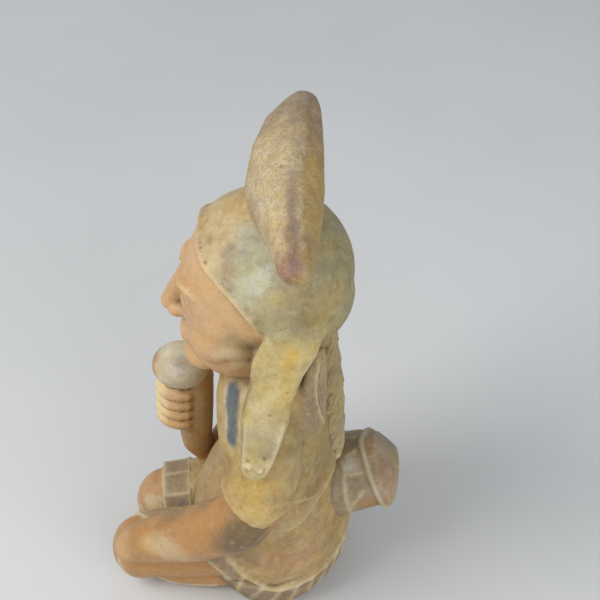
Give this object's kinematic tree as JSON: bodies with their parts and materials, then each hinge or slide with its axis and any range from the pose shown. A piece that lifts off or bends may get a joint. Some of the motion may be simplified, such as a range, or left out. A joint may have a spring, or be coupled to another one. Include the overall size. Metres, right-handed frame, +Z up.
{
  "type": "figurine",
  "caption": "Kneeling fired-clay priest figurine with a crosswise crest, ear lappets, a braid and a rattle.",
  "frame": {"origin": "on the flat underside, under the figure's midline and midway from the knees to the knot", "axes": "+Z up, -Y the way the figure faces, +X the figure's left"},
  "size_m": [0.1237, 0.1541, 0.2694],
  "materials": {
    "terracotta": "matt, worn slip and paint"
  },
  "bodies": {
    "root": {"priest_figure": "terracotta"}
  },
  "joints": []
}
